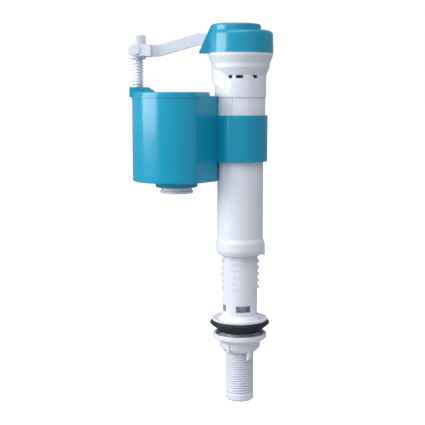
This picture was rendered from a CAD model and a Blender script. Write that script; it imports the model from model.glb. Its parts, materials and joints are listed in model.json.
import bpy
import json
import math
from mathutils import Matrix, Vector

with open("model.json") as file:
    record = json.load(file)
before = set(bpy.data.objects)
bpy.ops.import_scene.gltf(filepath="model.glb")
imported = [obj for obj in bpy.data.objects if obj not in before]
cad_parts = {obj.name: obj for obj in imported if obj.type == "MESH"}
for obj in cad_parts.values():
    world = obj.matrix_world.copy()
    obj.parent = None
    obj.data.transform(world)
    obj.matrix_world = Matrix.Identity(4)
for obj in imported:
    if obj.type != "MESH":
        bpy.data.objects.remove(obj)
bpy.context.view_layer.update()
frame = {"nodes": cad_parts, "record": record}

# Camera: lens and sensor in millimetres, place and clipping in metres, pitch in degrees.
LENS_MM = 78.8
SENSOR_MM = 36.0
CAMERA_AT = (-0.0204, -0.684, 0.223)
CAMERA_PITCH = 6.8
CAMERA_CLIP = (0.01, 20.0)

# Surroundings: their colour, their strength, and how it leans with direction.
AMBIENT_COLOUR = (0.90, 0.94, 1.0, 1)
AMBIENT = 0.46
AMBIENT_LEAN = (-0.06, -0.08, 0.04)

# Lamps: the point they face, then name, degrees from the front (+ to the right), height,
# distance, width and depth in metres, and radiance.
LIGHT_TARGET = (-0.02, 0.0, 0.18)
SOFTBOXES = (
    ("softbox_left", -74, 0.33, 0.55, (0.42, 0.30), 6.0),
    ("softbox_above", -20, 1.25, 0.75, (1.2, 0.9), 2.2),
    ("softbox_high", 24, 1.0, 0.42, (0.2, 0.2), 7.0),
)

# Floor: half its side in metres, the grey that lights the object, and the camera's extra glow.
FLOOR_HALF = 6.0
FLOOR_GREY = (0.5, 0.5, 0.5, 1)
FLOOR_GLOW = 0.9
WHITE = (1, 1, 1, 1)

# Plastics: base colour, shade colour, roughness, coat, subsurface and scale of the grain.
PLASTICS = {
    "white_plastic": ((0.79, 0.815, 0.885), (0.76, 0.79, 0.865), 0.30, 0.0, 0.5, 2600.0),
    "teal_plastic": ((0.003, 0.31, 0.49), (0.003, 0.285, 0.455), 0.21, 0.15, 0.0, 3200.0),
    "float_foam": ((0.80, 0.81, 0.82), (0.70, 0.71, 0.73), 0.7, 0.0, 0.1, 900.0),
}
FLOW_MARKS = {"Scale": 22.0, "Detail": 4.0, "Distortion": 0.6}
GRAIN_DETAIL = 3.0
GLOSS_BELOW = 0.05
GLOSS_ABOVE = 0.07
EDGE_SAMPLES = 4
EDGE_ROUND = 0.0004
PLASTIC_BUMP = 0.06
COAT_ROUGHNESS = 0.08
SUBSURFACE_REACH = (0.004, 0.004, 0.005)

RUBBER_BASE = (0.006, 0.007, 0.011)
RUBBER_BLOOM = (0.016, 0.018, 0.026)
RUBBER_GRAIN = {"Scale": 60.0, "Detail": 6.0}
RUBBER_ROUGHNESS = 0.5
RUBBER_SPECULAR = 0.3
RUBBER_BUMP = 0.15

STEEL_COLOUR = (0.6, 0.6, 0.6, 1)
STEEL_LINES = {"Scale": 900.0, "Detail": 2.0}
STEEL_GLOSS = (0.2, 0.4)

BUMP_DEPTH = 0.0001

# The Mix node's colour sockets share their names with others, so they go by number.
MIX_A = 6
MIX_B = 7
MIX_RESULT = 2


def make_camera():
    """A long lens a little above the float cup, tipped down slightly."""
    data = bpy.data.cameras.new("camera")
    data.lens = LENS_MM
    data.sensor_width = SENSOR_MM
    data.clip_start, data.clip_end = CAMERA_CLIP
    camera = bpy.data.objects.new("camera", data)
    camera.location = CAMERA_AT
    camera.rotation_euler = (math.radians(90 - CAMERA_PITCH), 0, 0)
    bpy.context.scene.collection.objects.link(camera)
    bpy.context.scene.camera = camera


def camera_sees(tree, lit, seen, target):
    """Send one shader to the light on the object and another to what the camera sees."""
    ray = tree.nodes.new("ShaderNodeLightPath")
    mix = tree.nodes.new("ShaderNodeMixShader")
    tree.links.new(ray.outputs["Is Camera Ray"], mix.inputs[0])
    tree.links.new(lit, mix.inputs[1])
    tree.links.new(seen, mix.inputs[2])
    tree.links.new(mix.outputs["Shader"], target)


def floor_material():
    """White paper that looks fully lit, and lights the object less."""
    material = bpy.data.materials.new("floor_paper")
    material.use_nodes = True
    tree = material.node_tree
    paper = tree.nodes["Principled BSDF"]
    paper.inputs["Base Color"].default_value = FLOOR_GREY
    paper.inputs["Roughness"].default_value = 1.0
    paper.inputs["Specular IOR Level"].default_value = 0.0
    glow = tree.nodes.new("ShaderNodeEmission")
    glow.inputs["Color"].default_value = WHITE
    glow.inputs["Strength"].default_value = FLOOR_GLOW
    bright = tree.nodes.new("ShaderNodeAddShader")
    tree.links.new(paper.outputs["BSDF"], bright.inputs[0])
    tree.links.new(glow.outputs["Emission"], bright.inputs[1])
    surface = tree.nodes["Material Output"].inputs["Surface"]
    camera_sees(tree, paper.outputs["BSDF"], bright.outputs["Shader"], surface)
    return material


def make_floor():
    """A plain square sheet under the tail's end."""
    size = FLOOR_HALF
    mesh = bpy.data.meshes.new("floor")
    corners = [(-size, -size, 0), (size, -size, 0), (size, size, 0), (-size, size, 0)]
    mesh.from_pydata(corners, [], [(0, 1, 2, 3)])
    mesh.materials.append(floor_material())
    floor = bpy.data.objects.new("floor", mesh)
    bpy.context.scene.collection.objects.link(floor)


def softbox(name, turn, height, distance, size, radiance):
    """A soft rectangular lamp that the camera doesn't see."""
    angle = math.radians(turn)
    at = Vector((distance * math.sin(angle), -distance * math.cos(angle), height))
    data = bpy.data.lights.new(name, "AREA")
    data.shape = "RECTANGLE"
    data.size, data.size_y = size
    data.energy = radiance * math.pi * size[0] * size[1]
    lamp = bpy.data.objects.new(name, data)
    lamp.location = at
    lamp.rotation_euler = (Vector(LIGHT_TARGET) - at).to_track_quat("-Z", "Y").to_euler()
    lamp.visible_camera = False
    bpy.context.scene.collection.objects.link(lamp)


def make_world():
    """Surroundings brighter at the left front, and plain white to the camera."""
    world = bpy.data.worlds.new("studio")
    world.use_nodes = True
    tree = world.node_tree
    around = tree.nodes["Background"]
    around.inputs["Color"].default_value = AMBIENT_COLOUR
    direction = tree.nodes.new("ShaderNodeTexCoord")
    lean = tree.nodes.new("ShaderNodeVectorMath")
    lean.operation = "DOT_PRODUCT"
    lean.inputs[1].default_value = AMBIENT_LEAN
    level = tree.nodes.new("ShaderNodeMath")
    level.operation = "ADD"
    level.inputs[1].default_value = AMBIENT
    tree.links.new(direction.outputs["Generated"], lean.inputs[0])
    tree.links.new(lean.outputs["Value"], level.inputs[0])
    tree.links.new(level.outputs["Value"], around.inputs["Strength"])
    paper = tree.nodes.new("ShaderNodeBackground")
    paper.inputs["Color"].default_value = WHITE
    surface = tree.nodes["World Output"].inputs["Surface"]
    camera_sees(tree, around.outputs["Background"], paper.outputs["Background"], surface)
    bpy.context.scene.world = world


def make_light():
    make_world()
    for values in SOFTBOXES:
        softbox(*values)
    bpy.context.scene.view_settings.view_transform = "Standard"


class Nodes:
    """Short hand for one material's node tree."""

    def __init__(self, name):
        self.material = bpy.data.materials.new(name)
        self.material.use_nodes = True
        self.tree = self.material.node_tree
        self.shader = self.tree.nodes["Principled BSDF"]
        self.place = self.add("ShaderNodeTexCoord")

    def add(self, kind, **values):
        node = self.tree.nodes.new(kind)
        for key, value in values.items():
            if key in node.inputs:
                node.inputs[key].default_value = value
            else:
                setattr(node, key, value)
        return node

    def link(self, source, target):
        self.tree.links.new(source, target)

    def noise(self, **values):
        """Noise in the object's own coordinates."""
        noise = self.add("ShaderNodeTexNoise", **values)
        self.link(self.place.outputs["Object"], noise.inputs["Vector"])
        return noise.outputs["Fac"]

    def tint(self, amount, base, shade):
        """A base colour that drifts between two."""
        mix = self.add("ShaderNodeMix", data_type="RGBA")
        mix.inputs[MIX_A].default_value = (*base, 1)
        mix.inputs[MIX_B].default_value = (*shade, 1)
        self.link(amount, mix.inputs[0])
        self.link(mix.outputs[MIX_RESULT], self.shader.inputs["Base Color"])

    def gloss(self, amount, low, high):
        """A roughness that drifts between two."""
        gloss = self.add("ShaderNodeMapRange")
        gloss.inputs["To Min"].default_value = low
        gloss.inputs["To Max"].default_value = high
        self.link(amount, gloss.inputs["Value"])
        self.link(gloss.outputs["Result"], self.shader.inputs["Roughness"])

    def bump(self, height, strength):
        """Fine relief, returned so that a rounded edge can go under it."""
        bump = self.add("ShaderNodeBump", Strength=strength, Distance=BUMP_DEPTH)
        self.link(height, bump.inputs["Height"])
        self.link(bump.outputs["Normal"], self.shader.inputs["Normal"])
        return bump


def moulded_plastic(name, base, shade, roughness, coat, subsurface, grain_scale):
    """Moulded plastic: slight flow marks in the colour, fine surface grain, uneven gloss."""
    nodes = Nodes(name)
    flow = nodes.noise(**FLOW_MARKS)
    nodes.tint(flow, base, shade)
    nodes.gloss(flow, roughness - GLOSS_BELOW, roughness + GLOSS_ABOVE)
    bump = nodes.bump(nodes.noise(Scale=grain_scale, Detail=GRAIN_DETAIL), PLASTIC_BUMP)
    edge = nodes.add("ShaderNodeBevel", samples=EDGE_SAMPLES, Radius=EDGE_ROUND)
    nodes.link(edge.outputs["Normal"], bump.inputs["Normal"])
    nodes.shader.inputs["Coat Weight"].default_value = coat
    nodes.shader.inputs["Coat Roughness"].default_value = COAT_ROUGHNESS
    nodes.shader.inputs["Subsurface Weight"].default_value = subsurface
    nodes.shader.inputs["Subsurface Radius"].default_value = SUBSURFACE_REACH
    return nodes.material


def rubber(name):
    """Black moulded rubber with a dusty bloom."""
    nodes = Nodes(name)
    bloom = nodes.noise(**RUBBER_GRAIN)
    nodes.tint(bloom, RUBBER_BASE, RUBBER_BLOOM)
    nodes.bump(bloom, RUBBER_BUMP)
    nodes.shader.inputs["Roughness"].default_value = RUBBER_ROUGHNESS
    nodes.shader.inputs["Specular IOR Level"].default_value = RUBBER_SPECULAR
    return nodes.material


def steel(name):
    """Steel with a fine, uneven gloss."""
    nodes = Nodes(name)
    nodes.gloss(nodes.noise(**STEEL_LINES), *STEEL_GLOSS)
    nodes.shader.inputs["Base Color"].default_value = STEEL_COLOUR
    nodes.shader.inputs["Metallic"].default_value = 1.0
    return nodes.material


def set_materials():
    """Every CAD node gets the detailed material of its slot."""
    made = {name: moulded_plastic(name, *values) for name, values in PLASTICS.items()}
    made["black_rubber"] = rubber("black_rubber")
    made["pin_steel"] = steel("pin_steel")
    slots = {part["node"]: part["material_slot"] for part in frame["record"]["subparts"]}
    for node in frame["nodes"]:
        item = bpy.data.objects[node]
        material = made[slots[node]]
        if item.material_slots:
            for place in item.material_slots:
                place.material = material
        else:
            item.data.materials.append(material)


make_camera()
make_floor()
make_light()
set_materials()
